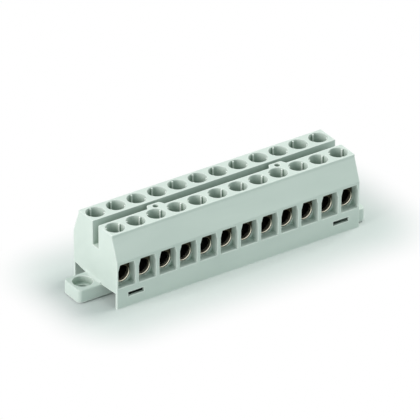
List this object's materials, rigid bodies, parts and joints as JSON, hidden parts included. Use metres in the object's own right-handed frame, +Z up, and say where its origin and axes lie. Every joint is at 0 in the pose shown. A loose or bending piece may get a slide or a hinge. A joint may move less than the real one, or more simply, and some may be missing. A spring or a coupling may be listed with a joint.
{
  "type": "distribution terminal block",
  "caption": "Long grey terminal block with two rows of screw wells on top, wire entries along both sides, clamping sleeves inside and a screw ear at one end.",
  "frame": {"origin": "middle of the footprint, ear and end tongue included, on the surface it stands on", "axes": "+X along the block away from the fixing ear, +Y from the front entries to the back ones, +Z up out of the screw wells"},
  "size_m": [0.1154, 0.0278, 0.0281],
  "materials": {
    "housing_plastic": "moulded polyamide, light grey with a green cast, fine satin",
    "sleeve_metal": "nickel-plated brass, machined, slightly warm",
    "screw_steel": "zinc-plated steel, turned"
  },
  "bodies": {
    "block": {"housing": "housing_plastic", "terminal_sleeve_01": "sleeve_metal", "terminal_sleeve_02": "sleeve_metal", "terminal_sleeve_03": "sleeve_metal", "terminal_sleeve_04": "sleeve_metal", "terminal_sleeve_05": "sleeve_metal", "terminal_sleeve_06": "sleeve_metal", "terminal_sleeve_07": "sleeve_metal", "terminal_sleeve_08": "sleeve_metal", "terminal_sleeve_09": "sleeve_metal", "terminal_sleeve_10": "sleeve_metal", "terminal_sleeve_11": "sleeve_metal", "terminal_sleeve_12": "sleeve_metal"},
    "front_screw_01": {"front_screw_01": "screw_steel"},
    "front_screw_02": {"front_screw_02": "screw_steel"},
    "front_screw_03": {"front_screw_03": "screw_steel"},
    "front_screw_04": {"front_screw_04": "screw_steel"},
    "front_screw_05": {"front_screw_05": "screw_steel"},
    "front_screw_06": {"front_screw_06": "screw_steel"},
    "front_screw_07": {"front_screw_07": "screw_steel"},
    "front_screw_08": {"front_screw_08": "screw_steel"},
    "front_screw_09": {"front_screw_09": "screw_steel"},
    "front_screw_10": {"front_screw_10": "screw_steel"},
    "front_screw_11": {"front_screw_11": "screw_steel"},
    "front_screw_12": {"front_screw_12": "screw_steel"},
    "rear_screw_01": {"rear_screw_01": "screw_steel"},
    "rear_screw_02": {"rear_screw_02": "screw_steel"},
    "rear_screw_03": {"rear_screw_03": "screw_steel"},
    "rear_screw_04": {"rear_screw_04": "screw_steel"},
    "rear_screw_05": {"rear_screw_05": "screw_steel"},
    "rear_screw_06": {"rear_screw_06": "screw_steel"},
    "rear_screw_07": {"rear_screw_07": "screw_steel"},
    "rear_screw_08": {"rear_screw_08": "screw_steel"},
    "rear_screw_09": {"rear_screw_09": "screw_steel"},
    "rear_screw_10": {"rear_screw_10": "screw_steel"},
    "rear_screw_11": {"rear_screw_11": "screw_steel"},
    "rear_screw_12": {"rear_screw_12": "screw_steel"}
  },
  "joints": [
    {"name": "front_screw_01_travel", "type": "slide", "parent": "block", "child": "front_screw_01", "axis": [0, 0, -1], "range_m": [0, 0.0052]},
    {"name": "front_screw_02_travel", "type": "slide", "parent": "block", "child": "front_screw_02", "axis": [0, 0, -1], "range_m": [0, 0.0052]},
    {"name": "front_screw_03_travel", "type": "slide", "parent": "block", "child": "front_screw_03", "axis": [0, 0, -1], "range_m": [0, 0.0052]},
    {"name": "front_screw_04_travel", "type": "slide", "parent": "block", "child": "front_screw_04", "axis": [0, 0, -1], "range_m": [0, 0.0052]},
    {"name": "front_screw_05_travel", "type": "slide", "parent": "block", "child": "front_screw_05", "axis": [0, 0, -1], "range_m": [0, 0.0052]},
    {"name": "front_screw_06_travel", "type": "slide", "parent": "block", "child": "front_screw_06", "axis": [0, 0, -1], "range_m": [0, 0.0052]},
    {"name": "front_screw_07_travel", "type": "slide", "parent": "block", "child": "front_screw_07", "axis": [0, 0, -1], "range_m": [0, 0.0052]},
    {"name": "front_screw_08_travel", "type": "slide", "parent": "block", "child": "front_screw_08", "axis": [0, 0, -1], "range_m": [0, 0.0052]},
    {"name": "front_screw_09_travel", "type": "slide", "parent": "block", "child": "front_screw_09", "axis": [0, 0, -1], "range_m": [0, 0.0052]},
    {"name": "front_screw_10_travel", "type": "slide", "parent": "block", "child": "front_screw_10", "axis": [0, 0, -1], "range_m": [0, 0.0052]},
    {"name": "front_screw_11_travel", "type": "slide", "parent": "block", "child": "front_screw_11", "axis": [0, 0, -1], "range_m": [0, 0.0052]},
    {"name": "front_screw_12_travel", "type": "slide", "parent": "block", "child": "front_screw_12", "axis": [0, 0, -1], "range_m": [0, 0.0052]},
    {"name": "rear_screw_01_travel", "type": "slide", "parent": "block", "child": "rear_screw_01", "axis": [0, 0, -1], "range_m": [0, 0.0052]},
    {"name": "rear_screw_02_travel", "type": "slide", "parent": "block", "child": "rear_screw_02", "axis": [0, 0, -1], "range_m": [0, 0.0052]},
    {"name": "rear_screw_03_travel", "type": "slide", "parent": "block", "child": "rear_screw_03", "axis": [0, 0, -1], "range_m": [0, 0.0052]},
    {"name": "rear_screw_04_travel", "type": "slide", "parent": "block", "child": "rear_screw_04", "axis": [0, 0, -1], "range_m": [0, 0.0052]},
    {"name": "rear_screw_05_travel", "type": "slide", "parent": "block", "child": "rear_screw_05", "axis": [0, 0, -1], "range_m": [0, 0.0052]},
    {"name": "rear_screw_06_travel", "type": "slide", "parent": "block", "child": "rear_screw_06", "axis": [0, 0, -1], "range_m": [0, 0.0052]},
    {"name": "rear_screw_07_travel", "type": "slide", "parent": "block", "child": "rear_screw_07", "axis": [0, 0, -1], "range_m": [0, 0.0052]},
    {"name": "rear_screw_08_travel", "type": "slide", "parent": "block", "child": "rear_screw_08", "axis": [0, 0, -1], "range_m": [0, 0.0052]},
    {"name": "rear_screw_09_travel", "type": "slide", "parent": "block", "child": "rear_screw_09", "axis": [0, 0, -1], "range_m": [0, 0.0052]},
    {"name": "rear_screw_10_travel", "type": "slide", "parent": "block", "child": "rear_screw_10", "axis": [0, 0, -1], "range_m": [0, 0.0052]},
    {"name": "rear_screw_11_travel", "type": "slide", "parent": "block", "child": "rear_screw_11", "axis": [0, 0, -1], "range_m": [0, 0.0052]},
    {"name": "rear_screw_12_travel", "type": "slide", "parent": "block", "child": "rear_screw_12", "axis": [0, 0, -1], "range_m": [0, 0.0052]}
  ]
}
